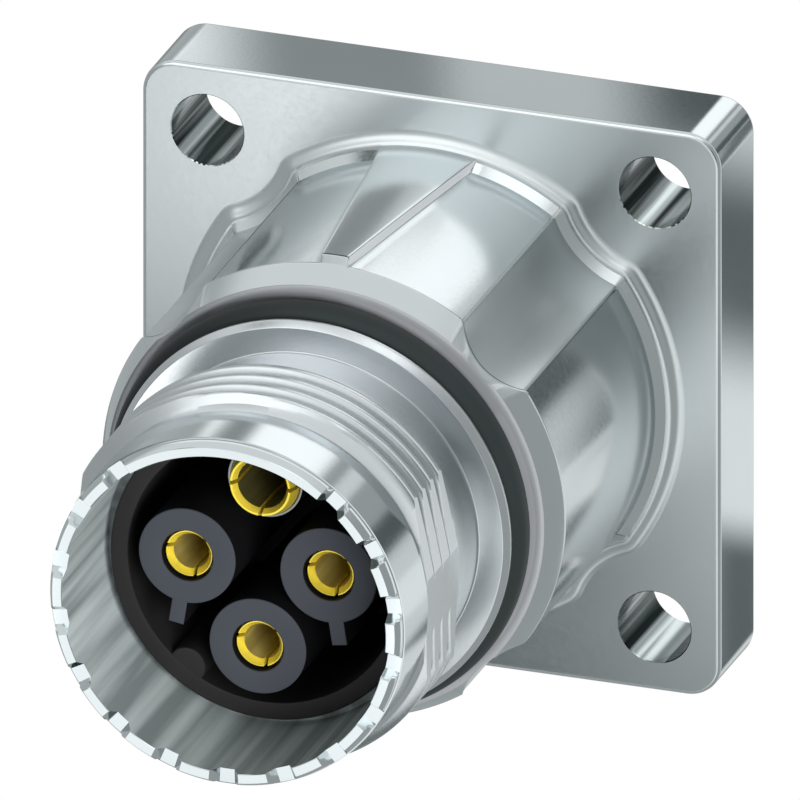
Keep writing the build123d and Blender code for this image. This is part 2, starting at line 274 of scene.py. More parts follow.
# %% Feathered cards
def feather_group():
    """How much of a card is there: all of it in the middle, and less towards its edges."""
    sizes = {"Width": 1.0, "Height": 1.0, "Feather": 0.1}
    group, given, out = shader_group("feathered_card", sizes, {"Cover": float})
    place = group.nodes.new("ShaderNodeTexCoord")
    parts = added(group, "ShaderNodeSeparateXYZ", {0: place.outputs["UV"]})
    inside = []
    for axis, size in (("X", "Width"), ("Y", "Height")):
        off = (Term(group, parts.outputs[axis]) - 0.5).math("ABSOLUTE")
        inside.append((0.5 - off) * Term(group, given[size]))
    share = (inside[0].least(inside[1]) / Term(group, given["Feather"])).least(1.0)
    group.links.new((share * share * (3.0 - share * 2.0)).socket, out["Cover"])
    return group


feathered_card = feather_group()


def card(name, depth, across, heights, level, feather):
    """A card that stands across the axis at a depth, in millimetres. Only reflections see it."""
    (left, right_end), (low, high) = across, heights
    mesh = bpy.data.meshes.new(name)
    corners = [(left, low), (right_end, low), (right_end, high), (left, high)]
    mesh.from_pydata([(x * MM, depth * MM, z * MM) for x, z in corners], [], [(0, 1, 2, 3)])
    for loop, place in zip(mesh.uv_layers.new().data, [(0, 0), (1, 0), (1, 1), (0, 1)]):
        loop.uv = place
    piece = placed(name, mesh)
    material, tree, glow, out = glowing(name)
    glow.inputs["Strength"].default_value = level
    glow.inputs["Color"].default_value = (1 - coolness / level, 1, 1, 1)
    sizes = {"Width": right_end - left, "Height": high - low, "Feather": feather}
    cover = added(tree, "ShaderNodeGroup", sizes, node_tree=feathered_card)
    clear = tree.nodes.new("ShaderNodeBsdfTransparent")
    mix = added(tree, "ShaderNodeMixShader", {0: cover.outputs[0], 1: clear.outputs[0], 2: glow.outputs[0]})
    tree.links.new(mix.outputs[0], out.inputs[0])
    mesh.materials.append(material)
    piece.visible_camera = piece.visible_diffuse = piece.visible_shadow = piece.visible_transmission = False


card("top_face_left", 35.0, (-36, -20), (24, 36), 1.3, 6)
card("top_face_grey", 35.2, (-23, -12), (22, 37), 0.33, 5)
card("top_face_end", 35.4, (-7, 3), (24, 35), 0.08, 4.5)
card("top_face_light", 35.6, (-15, 0), (22, 37), 0.66, 3)
card("right_face_dark", 35.8, (19, 33), (-18, -4.5), 0.13, 5)
card("right_face_low", 12.0, (14.5, 21), (-24, -11.4), 0.13, 2.5)
card("right_face_bright", 36.2, (18, 32), (-28, -10), 0.95, 5)
card("nose_right", 36.6, (33, 50), (-27, -8), 1.0, 3)
card("drum_right", 36.4, (29, 37.5), (-14, 12), 0.15, 2)
card("front_high", -50.0, (-27, 8), (-17, 0), 2.3, 4)
card("front_low", -51.0, (-45, -1), (-60, -19), 0.03, 6)
card("front_low_right", -52.0, (-6, 22), (-60, -30), 0.12, 5)
card("before_rim", -40.0, (-12, 5), (-13, 4), 1.3, 1)


# %% Lamps
def soft_lamp(name, place, width, height, watts):
    """A rectangular softbox that faces the object."""
    data = bpy.data.lights.new(name, "AREA")
    data.shape = "RECTANGLE"
    data.size, data.size_y, data.energy = width, height, watts
    lamp = placed(name, data)
    lamp.location = place
    lamp.rotation_euler = (-Vector(place)).to_track_quat("-Z", "Y").to_euler()
    lamp.visible_glossy = False


soft_lamp("key", (0.35, -0.45, 0.02), 0.3, 0.3, 5.0)

# %% [markdown]
# ## Sizes
#
# These repeat the CAD model's sizes. Heights run along the connector's axis from the flange's front face
# towards the nose, and angles turn round the axis from the right-hand side, counter-clockwise from the front.

# %% Sizes of the housing
flange_side, flange_t, flange_corner_r, flange_edge, flange_bore_r = 25.6, 4.4, 1.5, 0.2, 9.0
hole_pitch, hole_r, hole_flare = 19.8, 1.6, 0.04
seal_inner_r, seal_outer_r, seal_depth = 10.3, 11.9, 1.2
drum_r, drum_len, scallop_r, drum_corner_r = 10.15, 12.0, 4.45, 0.2
plinth_r, foot_chamfer = 10.65, 0.34
pad_foot_w, pad_tip_w = 4.3, 1.18
shoulder_r, shoulder_land, shoulder_cone, shoulder_face_r = 10.25, 0.3, 1.1, 9.65
groove_root_r, groove_w = 7.78, 1.75
disc_r, disc_t, disc_chamfer = 8.9, 0.45, 0.25
relief_r, relief_len = 7.55, 3.2
thread_r, thread_root_r, thread_pitch, thread_len, thread_lead = 8.5, 7.76, 1.0, 3.55, 0.45
gap_flats = [(-1.5, 7.69), (10.4, 7.80)]
nose_r, nose_len, nose_bore_r, nose_bore_len = 7.85, 3.45, 7.17, 5.95
rim_bevel_len, rim_face_r = 0.5, 7.6
notch_mouth, notch_floor, notch_depth = 1.28, 0.65, 0.51
spigot_r, spigot_len, spigot_chamfer, pocket_r, main_bore_r = 9.6, 3.2, 0.3, 8.2, 6.85
screw_r = hole_pitch / sqrt(2)
cone_z = drum_len + shoulder_land
groove_z = cone_z + shoulder_cone
disc_z = groove_z + groove_w
relief_z = disc_z + disc_t
thread_z = relief_z + relief_len
lead_z = thread_z + thread_len
nose_z = lead_z + thread_lead
rim_z = nose_z + nose_len
print("rim at", round(rim_z, 3), "mm in front of the flange")


# %% Helpers: from the axis to the frame
def spot(radius, angle, height):
    """The point in the frame at a radius, an angle in degrees and a height in front of the flange."""
    return (radius * cos(radians(angle)) * MM, -(height + flange_t) * MM, radius * sin(radians(angle)) * MM)


def off_axis(point):
    """How far a point is from the connector's axis."""
    return hypot(point.x, point.z)


def plain_mesh(holder):
    """What an object looks like with its modifiers, as a new mesh. The object is removed."""
    bpy.context.view_layer.update()
    mesh = bpy.data.meshes.new_from_object(holder.evaluated_get(bpy.context.evaluated_depsgraph_get()))
    bpy.data.objects.remove(holder)
    return mesh


def finished(name, mesh, material, sharp=30.0):
    """A mesh made into a piece of the object: smooth, with sharp edges kept and flat faces shaded flat."""
    mesh.shade_smooth()
    mesh.set_sharp_from_angle(angle=radians(sharp))
    holder = placed(name, mesh)
    holder.modifiers.new("flat_faces", "WEIGHTED_NORMAL").keep_sharp = True
    mesh = plain_mesh(holder)
    piece = placed(name, mesh)
    mesh.materials.clear()
    mesh.materials.append(material)
    print(name, "faces:", len(mesh.polygons))
    return piece


def painted(piece, material, rule):
    """Gives another material to the faces of a piece whose centre, in millimetres, and normal fit a rule."""
    piece.data.materials.append(material)
    for face in piece.data.polygons:
        if rule(face.center / MM, face.normal):
            face.material_index = len(piece.data.materials) - 1


# %% Helpers: meshes from rows and from profiles
touching, sliver_size = 2e-7, 1e-7
axis_r, arc_steps, most_of_side = 0.001, 4, 0.45


def mended(mesh, merge=0.0, sliver=0.0):
    """Merges points that meet. With a sliver size, thinner faces go, and all faces turn outwards."""
    shell = bmesh.new()
    shell.from_mesh(mesh)
    if merge:
        bmesh.ops.remove_doubles(shell, verts=shell.verts, dist=merge)
    if sliver:
        bmesh.ops.dissolve_degenerate(shell, edges=shell.edges, dist=sliver)
        bmesh.ops.recalc_face_normals(shell, faces=shell.faces)
    shell.to_mesh(mesh)
    shell.free()
    return mesh


def skin(name, rows):
    """A mesh over rows of points. Each row runs once round the axis, and the last row meets the first."""
    across = len(rows[0])
    points = [point for row in rows for point in row]
    faces = []
    for number in range(len(rows)):
        low, high = number * across, (number + 1) % len(rows) * across
        for here in range(across):
            there = (here + 1) % across
            faces.append((low + here, low + there, high + there, high + here))
    mesh = bpy.data.meshes.new(name)
    mesh.from_pydata(points, [], faces)
    return mended(mesh, touching, sliver_size)


def eased(corners):
    """A closed profile of (radius, height, edge radius) corners, with each corner turned into a small arc."""
    profile = []
    for number, (r, z, ease) in enumerate(corners):
        here = Vector((r, z))
        before = Vector(corners[number - 1][:2]) - here
        after = Vector(corners[(number + 1) % len(corners)][:2]) - here
        if ease <= 0:
            profile.append((r, z))
            continue
        half_turn = before.angle(after) / 2
        run = min(ease / abs(tan(half_turn)), before.length * most_of_side, after.length * most_of_side)
        start, end = here + before.normalized() * run, here + after.normalized() * run
        for step in range(arc_steps + 1):
            share = step / arc_steps
            bend = start.lerp(here, share).lerp(here.lerp(end, share), share)
            profile.append((bend.x, bend.y))
    return profile


def turned(name, corners, segments=192, x=0.0, y=0.0):
    """A turned ring about an axis at (x, y), from its closed profile."""
    rows = []
    for r, z in eased(corners):
        row = []
        for number in range(segments):
            angle = tau * number / segments
            row.append(((x + r * cos(angle)) * MM, -(z + flange_t) * MM, (y + r * sin(angle)) * MM))
        rows.append(row)
    return skin(name, rows)


# %% [markdown]
# ## Materials
#
# The shell is turned and milled metal with a satin nickel plate: almost neutral, bright, with a very fine
# grain that scatters the reflections a little. The grain is a shader node group, so that every finish on the
# part can use it with its own scale and strength.


# %% A fine grain for every finish, as a node group
def fine_grain_group():
    """Colour, roughness and height that change a little over the surface, at a number of grains per metre.

    With Along below 1 the pattern is drawn out along the axis, into streaks.
    """
    values = {
        "Colour": (0.7, 0.7, 0.7, 1),
        "Second Colour": (0.6, 0.62, 0.6, 1),
        "Grains": 6000.0,
        "Clouds": 250.0,
        "Roughness": 0.25,
        "Spread": 0.08,
        "Along": 1.0,
        "Contrast": 1.0,
    }
    outputs = {"Colour": tuple, "Roughness": float, "Height": float}
    group, given, out = shader_group("fine_grain", values, outputs)
    place = group.nodes.new("ShaderNodeTexCoord").outputs["Object"]
    stretch = added(group, "ShaderNodeCombineXYZ", {"X": 1.0, "Y": given["Along"], "Z": 1.0})
    drawn = added(group, "ShaderNodeVectorMath", {0: place, 1: stretch.outputs[0]}, operation="MULTIPLY")
    grain, clouds = (
        added(group, "ShaderNodeTexNoise", {"Vector": drawn.outputs[0], "Scale": scale, "Detail": detail})
        for scale, detail in ((given["Grains"], 2.0), (given["Clouds"], 3.0))
    )
    share = (Term(group, clouds.outputs["Fac"]) - 0.5) * Term(group, given["Contrast"]) + 0.5
    colours = {"Factor": share, "A": given["Colour"], "B": given["Second Colour"]}
    blend = added(group, "ShaderNodeMix", colours, data_type="RGBA")
    spread = (Term(group, grain.outputs["Fac"]) - 0.5) * Term(group, given["Spread"])
    group.links.new(blend.outputs["Result"], out["Colour"])
    group.links.new((spread + Term(group, given["Roughness"])).socket, out["Roughness"])
    group.links.new(grain.outputs["Fac"], out["Height"])
    return group


fine_grain = fine_grain_group()


def grained(name, colour, second, metallic, roughness, shine=0.5, **pattern):
    """A finish whose colour, roughness and small bumps come from the fine grain.

    The pattern's names are inputs of the group in small letters. What it leaves out keeps the group's value.
    """
    material = bpy.data.materials.new(name)
    material.use_nodes = True
    tree = material.node_tree
    shader = tree.nodes["Principled BSDF"]
    shader.inputs["Metallic"].default_value = metallic
    shader.inputs["Specular IOR Level"].default_value = shine
    looks = {"Colour": (*colour, 1), "Second Colour": (*second, 1), "Roughness": roughness}
    looks.update({size.capitalize(): value for size, value in pattern.items()})
    grain = added(tree, "ShaderNodeGroup", looks, node_tree=fine_grain)
    bumps = {"Height": grain.outputs["Height"], "Strength": 0.1, "Distance": 0.00001}
    raised = added(tree, "ShaderNodeBump", bumps)
    tree.links.new(grain.outputs["Colour"], shader.inputs["Base Color"])
    tree.links.new(grain.outputs["Roughness"], shader.inputs["Roughness"])
    tree.links.new(raised.outputs["Normal"], shader.inputs["Normal"])
    return material


# %% The finishes, and the painted shade and painted reflections for the sleeves, bores and holes
plated_metal = grained("bright_nickel", (0.66, 0.705, 0.72), (0.63, 0.675, 0.69), 1.0, 0.13, spread=0.05)
cast_metal = grained("matt_nickel", (0.66, 0.705, 0.72), (0.63, 0.675, 0.69), 1.0, 0.16, spread=0.1)
satin_metal = grained("satin_nickel", (0.68, 0.72, 0.73), (0.65, 0.69, 0.70), 1.0, 0.31)
milled_metal = grained("milled_nickel", (0.62, 0.635, 0.66), (0.58, 0.60, 0.62), 0.1, 0.4)
faced_metal = grained("faced_nickel", (0.43, 0.445, 0.465), (0.36, 0.37, 0.39), 0.3, 0.4)
turned_metal = grained("turned_nickel", (0.67, 0.70, 0.72), (0.64, 0.67, 0.69), 1.0, 0.25)
# Streaks along the bores' axes, with a much darker second colour: painted reflections on the bores' walls.
streaks = {"along": 0.04, "clouds": 900.0, "contrast": 4.5}
# Pale and near-black streaks along the screw holes' axes: painted reflections.
hole_painted_reflection_streaks = {"along": 0.02, "clouds": 1100.0, "contrast": 8.0}
bore_painted_reflections = grained("bore_nickel_painted_reflections", (0.60, 0.66, 0.66), (0.26, 0.30, 0.30), 0.1, 0.4, **streaks)
hole_painted_reflections = grained("hole_nickel_painted_reflections", (0.56, 0.62, 0.62), (0.0, 0.01, 0.01), 1.0, 0.2, **hole_painted_reflection_streaks)
gold = grained("gold_plate", (1.0, 0.80, 0.08), (0.96, 0.74, 0.07), 0.4, 0.22)
# Gold with a dark brown second colour, in streaks along the axis: painted shade and painted reflections
# inside the line contacts' bores.
line_bore_painted_shade = grained("line_contact_bore_painted_shade", (1.0, 0.84, 0.28), (0.60, 0.48, 0.13), 0.6, 0.3, **streaks)
# Gold darkened to deep brown, in streaks: painted shade inside the earth contact's deep bore.
earth_bore_painted_shade = grained("earth_contact_bore_painted_shade", (0.28, 0.25, 0.09), (0.14, 0.12, 0.04), 0.7, 0.35, **streaks)
seal_rubber = grained("black_rubber", (0.016, 0.021, 0.021), (0.024, 0.030, 0.030), 0.0, 0.5, 0.3)
insulator_black = grained("black_insulator", (0.016, 0.015, 0.015), (0.024, 0.022, 0.022), 0.0, 0.5, 0.2)
# A near-black copy of the slate insulator: painted shade for the sleeves' sides, which lie in the cavity's
# shade.
sleeve_side_painted_shade = grained("insulator_painted_shade", (0.006, 0.006, 0.007), (0.009, 0.009, 0.010), 0.0, 0.5, 0.15)
sleeve_grey = grained("slate_insulator", (0.054, 0.059, 0.070), (0.060, 0.066, 0.079), 0.0, 0.5, 0.15)
hood_steel = grained("bright_steel", (0.30, 0.31, 0.30), (0.24, 0.25, 0.24), 1.0, 0.35)
spring_bronze = grained("bare_bronze", (0.62, 0.42, 0.20), (0.50, 0.34, 0.16), 1.0, 0.35)

# %% [markdown]
# ## Flange
#
# A square plate with rounded corners and four screw holes. A flat curve with a hole in it, extruded and given
# a small bevel, makes the plate with one smooth edge radius all round. The screw holes and the groove for the
# rear seal are cut out of it, and the middle is left open for the drum and the spigot.


# %% Flat plates from outlines
def circle_points(radius, count):
    """A closed circle as points."""
    return [(radius * cos(tau * n / count), radius * sin(tau * n / count)) for n in range(count)]


def rounded_square(side, corner_r, steps=16):
    """The outline of a square with rounded corners."""
    points = []
    middle = side / 2 - corner_r
    for quarter, (sx, sy) in enumerate([(1, 1), (-1, 1), (-1, -1), (1, -1)]):
        for step in range(steps + 1):
            angle = pi / 2 * (quarter + step / steps)
            points.append((sx * middle + corner_r * cos(angle), sy * middle + corner_r * sin(angle)))
    return points


def plate(name, outlines, low, high, edge):
    """A flat plate between two heights from its outlines in millimetres, with its edges rounded."""
    curve = bpy.data.curves.new(name, "CURVE")
    curve.dimensions, curve.fill_mode = "2D", "BOTH"
    curve.extrude = (high - low) / 2 - edge
    curve.bevel_depth, curve.offset = edge, -edge
    curve.bevel_resolution = 3
    for points in outlines:
        line = curve.splines.new("POLY")
        line.points.add(len(points) - 1)
        for knot, (x, y) in zip(line.points, points):
            knot.co = (x, y, 0, 1)
        line.use_cyclic_u = True
    mesh = mended(plain_mesh(placed(name, curve)), 1e-4)
    lift = Matrix.Translation((0, 0, flange_t + (low + high) / 2))
    mesh.transform(Matrix.Scale(MM, 4) @ Matrix.Rotation(pi / 2, 4, "X") @ lift)
    return mesh


def joined(name, meshes):
    """Several closed meshes as one mesh."""
    shell = bmesh.new()
    for mesh in meshes:
        shell.from_mesh(mesh)
    mesh = bpy.data.meshes.new(name)
    shell.to_mesh(mesh)
    shell.free()
    return mesh


def carved(mesh, cutter, operation="DIFFERENCE"):
    """A mesh with another cut out of it, or united with it."""
    holder, knife = placed("holder", mesh), placed("knife", cutter)
    cut = holder.modifiers.new("cut", "BOOLEAN")
    cut.operation, cut.solver, cut.object = operation, "EXACT", knife
    result = plain_mesh(holder)
    bpy.data.objects.remove(knife)
    return result


# %% The flange plate
half_pitch = hole_pitch / 2
cut_past = 1.0


def to_screw(centre):
    """How far a point is from the nearest screw's axis."""
    return hypot(abs(centre.x) - half_pitch, abs(centre.z) - half_pitch)


screws = [(sx * half_pitch, sy * half_pitch) for sx in (-1, 1) for sy in (-1, 1)]
outlines = [rounded_square(flange_side, flange_corner_r), circle_points(flange_bore_r, 192)]
flange_mesh = plate("flange", outlines, -flange_t, 0, flange_edge)
behind_flange, groove_end_r = -flange_t - cut_past, flange_bore_r - 0.5
drill = [
    (axis_r, behind_flange, 0),
    (hole_r + hole_flare, behind_flange, 0),
    (hole_r + hole_flare, -flange_t, 0),
    (hole_r, hole_flare - flange_t, 0),
    (hole_r, -hole_flare, 0),
    (hole_r + hole_flare, 0, 0),
    (hole_r + hole_flare, cut_past, 0),
    (axis_r, cut_past, 0),
]
groove = [
    (groove_end_r, behind_flange, 0),
    (seal_outer_r, behind_flange, 0),
    (seal_outer_r, seal_depth - flange_t, 0),
    (groove_end_r, seal_depth - flange_t, 0),
]
drills = [turned("drill", drill, 96, x, y) for x, y in screws]
cutters = joined("cutters", drills + [turned("groove", groove)])
flange = finished("housing_flange", carved(flange_mesh, cutters), plated_metal)
painted(flange, satin_metal, lambda centre, normal: abs(normal.y) > 0.9)

# %% Flat faces that mirror flatly
bends = [Vector(corner.vector) for corner in flange.data.corner_normals]
for face in flange.data.polygons:
    for corner in face.loop_indices:
        bends[corner] = face.normal.copy() if abs(face.normal.y) > 0.999 else bends[corner]
flange.data.normals_split_custom_set(bends)
# The screw holes' walls get streaks of painted reflection along their axes.
painted(flange, hole_painted_reflections, lambda centre, normal: to_screw(centre) < hole_r + 0.02)
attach(flange, "root")
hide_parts("housing")

# %% [markdown]
# ## Drum
#
# The drum's outline is a circle with a bite round each screw. One rule gives its radius at any angle, with
# the bite's corners slightly rounded, so the plinth, the drum and the shoulder are all rows of that outline
# at different heights and sizes. The grid's columns follow the corners and the slanted edges of the arrow
# pad, so every edge stays crisp without a very fine grid.


# %% The scalloped outline
def bite_corner(radius, bite_r, corner_r):
    """The centre of the arc between the circle and a bite, and the two angles where it touches them."""
    outer, inner = radius - corner_r, bite_r + corner_r
    angle = acos((outer**2 + screw_r**2 - inner**2) / (2 * outer * screw_r))
    centre = Vector((outer * cos(angle), outer * sin(angle)))
    to_centre = centre - Vector((screw_r, 0))
    touch = Vector((screw_r, 0)) + to_centre * (bite_r / to_centre.length)
    return centre, degrees(angle), degrees(atan2(touch.y, touch.x))


def outline_r(angle, radius, bite_r, corner_r):
    """The outline's radius at an angle in degrees."""
    turn = abs((angle % 90) - 45)
    centre, on_circle, on_bite = bite_corner(radius, bite_r, corner_r)
    if turn >= on_circle:
        return radius
    along = Vector((cos(radians(turn)), sin(radians(turn))))
    if turn >= on_bite:
        side = along.x * centre.y - along.y * centre.x
        return along.dot(centre) + sqrt(max(corner_r**2 - side**2, 0))
    return screw_r * along.x - sqrt(max(bite_r**2 - (screw_r * along.y) ** 2, 0))


# %% The grid's columns
pad_sides = [(0.45, 0.0), (0.12, 0.06), (0.0, 0.2), (0.0, 0.82), (-0.06, 0.93), (-0.2, 0.985), (-0.42, 1.0)]
line_places, line_depth = (0.1, 0.15, 0.4, 0.45), (0.0, -0.25, -0.25, 0.0)
bite_spans = [1, 1, 1, 1, 6, 36, 6, 1, 1, 1, 1]
pad_spans = [2] * (len(pad_sides) - 1)
quarter_span, side_span, pad_front_span = [30], [12], [24]
span_steps = bite_spans + quarter_span + bite_spans + side_span + pad_spans + pad_front_span + pad_spans
span_steps += side_span + bite_spans + quarter_span + bite_spans + quarter_span
bite_lift = [*line_depth, 0.0, 0.0, 0.0, 0.0, *line_depth]
pad_lift = [lift for _, lift in pad_sides]
knot_lift = bite_lift + bite_lift + pad_lift + pad_lift[::-1] + bite_lift + bite_lift
print("columns round the drum:", sum(span_steps))

# %% A row of the drum
cone_low, cone_low_r = cone_z + 0.04, shoulder_r - 0.02
cone_high, cone_high_r = groove_z - 0.06, shoulder_face_r + 0.035
run_out_share = 0.5
cone_rise = run_out_share * (cone_high - cone_low) / (cone_low_r - cone_high_r)
clear_of_bites = 0.5


def drum_row(height, radius, grow=0.0, corner_r=drum_corner_r, pad_r=0.0, plain=False, sunk=False):
    """One row of the drum's skin: the outline at a height, with the pad standing out of it, or a circle.

    A sunk row runs on in the scallops, towards where they leave the shoulder's cone.
    """
    bite_r = scallop_r - grow
    _, on_circle, on_bite = bite_corner(max(radius, screw_r - bite_r + clear_of_bites), bite_r, corner_r)
    share = max(0.0, min(1.0, height / cone_z))
    half = degrees(asin((pad_foot_w + (pad_tip_w - pad_foot_w) * share) / 2 / plinth_r))
    away = [on_circle + place for place in line_places]
    turns = [-turn for turn in reversed(away)] + [-on_circle, -on_bite, on_bite, on_circle] + away
    bites = [[45 + 90 * k + turn for turn in turns] for k in range(-1, 3)]
    pad = [90 - half - off for off, _ in pad_sides] + [90 + half + off for off, _ in reversed(pad_sides)]
    knots = bites[0] + bites[1] + pad + bites[2] + bites[3]
    row = []
    for number, steps in enumerate(span_steps):
        follow = (number + 1) % len(knots)
        end = knots[follow] + (360 if follow == 0 else 0)
        for step in range(steps):
            part = step / steps
            angle = knots[number] + (end - knots[number]) * part
            lift = knot_lift[number] + (knot_lift[follow] - knot_lift[number]) * part
            own = radius if plain else outline_r(angle, radius, bite_r, corner_r)
            bitten = shoulder_r - outline_r(angle, shoulder_r, scallop_r, drum_corner_r)
            rise = cone_rise * bitten if sunk else 0.0
            row.append(spot(own + max(pad_r - own, 0.0) * lift, angle, height + rise))
    return row


def bead_row(out, height, pad_r=0.0, sunk=False):
    """A row outside the drum: its outline moved out evenly, so its corners grow rounder."""
    return drum_row(height, drum_r + out, out, drum_corner_r + out, pad_r, False, sunk)


# %% The drum's foot, with its bead and chamfer
sink, bead_turn, cove_r, crown_r = 0.3, radians(46), 0.62, 0.36
bead_steps, chamfer_steps, drum_steps = 6, 3, 12
crown_out, crown_top = foot_chamfer + 0.05, (cove_r + crown_r) * (1 - cos(bead_turn))
bead_out = crown_out + (cove_r + crown_r) * sin(bead_turn)
rows = [bead_row(bead_out, -sink)]
for step in range(bead_steps + 1):
    turn = bead_turn * step / bead_steps
    rows.append(bead_row(bead_out - cove_r * sin(turn), cove_r * (1 - cos(turn))))
for step in range(1, bead_steps + 1):
    turn = bead_turn * (1 - step / bead_steps)
    rows.append(bead_row(crown_out + crown_r * sin(turn), crown_top - crown_r * (1 - cos(turn)), plinth_r))
for step in range(chamfer_steps + 1):
    out = foot_chamfer * (1 - step / chamfer_steps)
    rows.append(bead_row(out, crown_top + foot_chamfer * step / chamfer_steps, plinth_r))

# %% The drum's wall, the line under its edge and the shoulder
foot = crown_top + foot_chamfer
line_low, line_high, line_in = cone_z - 0.22, cone_z - 0.17, 0.14
for step in range(1, drum_steps + 1):
    height = foot + (line_low - foot) * step / drum_steps
    rows.append(drum_row(height, drum_r, pad_r=plinth_r, sunk=step == drum_steps))
for height in (line_low, line_high):
    rows.append(bead_row(-line_in, height, plinth_r - line_in, True))
for height, radius, pad_r in [
    (line_high, shoulder_r - 0.03, plinth_r - 0.02),
    (cone_z - 0.13, shoulder_r, plinth_r - 0.05),
    (cone_z - 0.03, shoulder_r, shoulder_r + 0.04),
]:
    rows.append(drum_row(height, radius, pad_r=pad_r, sunk=True))
rows.append(drum_row(cone_low, cone_low_r, 0.05, sunk=True))
rows.append(drum_row(cone_high, cone_high_r))
rows.append(drum_row(groove_z - 0.015, shoulder_face_r - 0.005))
rows.append(drum_row(groove_z, shoulder_face_r - 0.05))

# %% The shoulder's face, the ring groove and the bore
for height, radius in [
    (groove_z, shoulder_face_r - 0.12),
    (groove_z, 9.36),
    (groove_z - 0.02, 9.3),
    (groove_z - 0.02, groove_root_r),
    (disc_z + 0.2, groove_root_r),
    (disc_z + 0.2, main_bore_r),
    (-sink, main_bore_r),
]:
    rows.append(drum_row(height, radius, plain=True))
drum = finished("housing_drum", skin("drum", rows), cast_metal)


# %% The drum's finishes
def is_satin(centre, normal):
    """The scallops' walls and the bead."""
    return to_screw(centre) < scallop_r + 0.1 or -centre.y < flange_t + crown_top


def is_milled(centre, normal):
    """The pad's side walls."""
    sideways = abs(normal.x * centre.z - normal.z * centre.x) / off_axis(centre)
    return sideways > 0.9 and abs(centre.x) < 2.5 and off_axis(centre) > drum_r


def is_faced(centre, normal):
    """The shoulder's flat face."""
    return -centre.y > groove_z + flange_t - 0.09 and 8.5 < off_axis(centre) < shoulder_r


painted(drum, satin_metal, is_satin)
painted(drum, milled_metal, is_milled)
painted(drum, faced_metal, is_faced)
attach(drum, "root")
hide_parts("housing")

# %% [markdown]
# ## Spigot, disc and seals
#
# These are turned rings. `eased` turns each corner of a closed profile into a small arc, because a real edge
# always catches a thread of light, and `turned` spins the profile round an axis.

# %% Spigot behind the flange
circlip_z, circlip_t, circlip_groove_r = -flange_t - 1.4, 0.9, 8.75
spigot_rear = -flange_t - spigot_len
seal_wall_r, pocket_front = seal_inner_r - 0.01, seal_depth - flange_t + 0.1
spigot_profile = [
    (spigot_r, spigot_rear + spigot_chamfer, 0.08),
    (spigot_r, -flange_t, 0.03),
    (seal_wall_r, -flange_t, 0.04),
    (seal_wall_r, pocket_front, 0),
    (pocket_r, pocket_front, 0),
    (pocket_r, circlip_z, 0.03),
    (circlip_groove_r, circlip_z, 0),
    (circlip_groove_r, circlip_z - circlip_t, 0),
    (pocket_r, circlip_z - circlip_t, 0.03),
    (pocket_r, spigot_rear, 0.08),
    (spigot_r - spigot_chamfer, spigot_rear, 0.08),
]
slot_outline = [(-0.9, -8.9), (0.9, -8.9), (0.9, -7.5), (-0.9, -7.5)]
slot = plate("slot", [slot_outline], spigot_rear - cut_past, seal_depth - flange_t + cut_past, 0)
spigot = finished("housing_spigot", carved(turned("spigot", spigot_profile), slot), plated_metal)
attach(spigot, "root")
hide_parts("housing")

# %% Disc and relief in front of the ring groove
disc_profile = [
    (disc_r, disc_z, 0.04),
    (disc_r, relief_z - disc_chamfer, 0.06),
    (disc_r - disc_chamfer, relief_z, 0.06),
    (relief_r, relief_z, 0.08),
    (relief_r, thread_z, 0),
    (main_bore_r, thread_z, 0),
    (main_bore_r, disc_z, 0),
]
disc = finished("housing_disc", turned("disc", disc_profile, 256), turned_metal)
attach(disc, "root")
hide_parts("housing")

# %% The ring in front, which is a plain torus and needs no eased corners
cord_r, cord_off, cord_steps, ring_segments = 0.75, 0.77, 40, 224
rows = []
for step in range(cord_steps):
    turn = tau * step / cord_steps
    radius = groove_root_r + cord_off + cord_r * cos(turn)
    height = groove_z + cord_off + cord_r * sin(turn)
    rows.append([spot(radius, 360 * n / ring_segments, height) for n in range(ring_segments)])
front_ring = finished("front_o_ring", skin("front_o_ring", rows), seal_rubber)
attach(front_ring, "root")
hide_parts("front_o_ring")

# %% The flat seal in the flange's rear
seal_gap, seal_stands_out = 0.05, 0.1
flat_profile = [
    (seal_inner_r + seal_gap, -flange_t - seal_stands_out, 0.15),
    (seal_outer_r - seal_gap, -flange_t - seal_stands_out, 0.15),
    (seal_outer_r - seal_gap, seal_depth - flange_t, 0),
    (seal_inner_r + seal_gap, seal_depth - flange_t, 0),
]
rear_ring = finished("flange_seal", turned("flange_seal", flat_profile, ring_segments), seal_rubber)
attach(rear_ring, "root")
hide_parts("flange_seal")

# %% [markdown]
# ## Coupling thread
#
# The thread repeats itself every turn, so a rule makes it: Geometry Nodes lay a grid round the axis whose
# rows climb with the helix, and move each point to the radius that the thread has there. Rows that follow
# the helix keep the crests sharp.


# %% Trees of rules
def rule_tree(name, sizes):
    """A Geometry Nodes tree with a geometry going in and out, a material and these named sizes."""
    tree = bpy.data.node_groups.new(name, "GeometryNodeTree")
    tree.interface.new_socket(name="Geometry", in_out="INPUT", socket_type="NodeSocketGeometry")
    tree.interface.new_socket(name="Geometry", in_out="OUTPUT", socket_type="NodeSocketGeometry")
    tree.interface.new_socket(name="Material", in_out="INPUT", socket_type="NodeSocketMaterial")
    name_inputs(tree, sizes)
    given, out = tree.nodes.new("NodeGroupInput"), tree.nodes.new("NodeGroupOutput")
    return tree, given.outputs, out.inputs[0], {size: Term(tree, given.outputs[size]) for size in sizes}


def end_tree(tree, given, out, geometry):
    """Ends a tree in Realize Instances and Set Material."""
    real = added(tree, "GeometryNodeRealizeInstances", {"Geometry": geometry})
    shape = {"Geometry": real.outputs["Geometry"], "Material": given["Material"]}
    tree.links.new(added(tree, "GeometryNodeSetMaterial", shape).outputs["Geometry"], out)


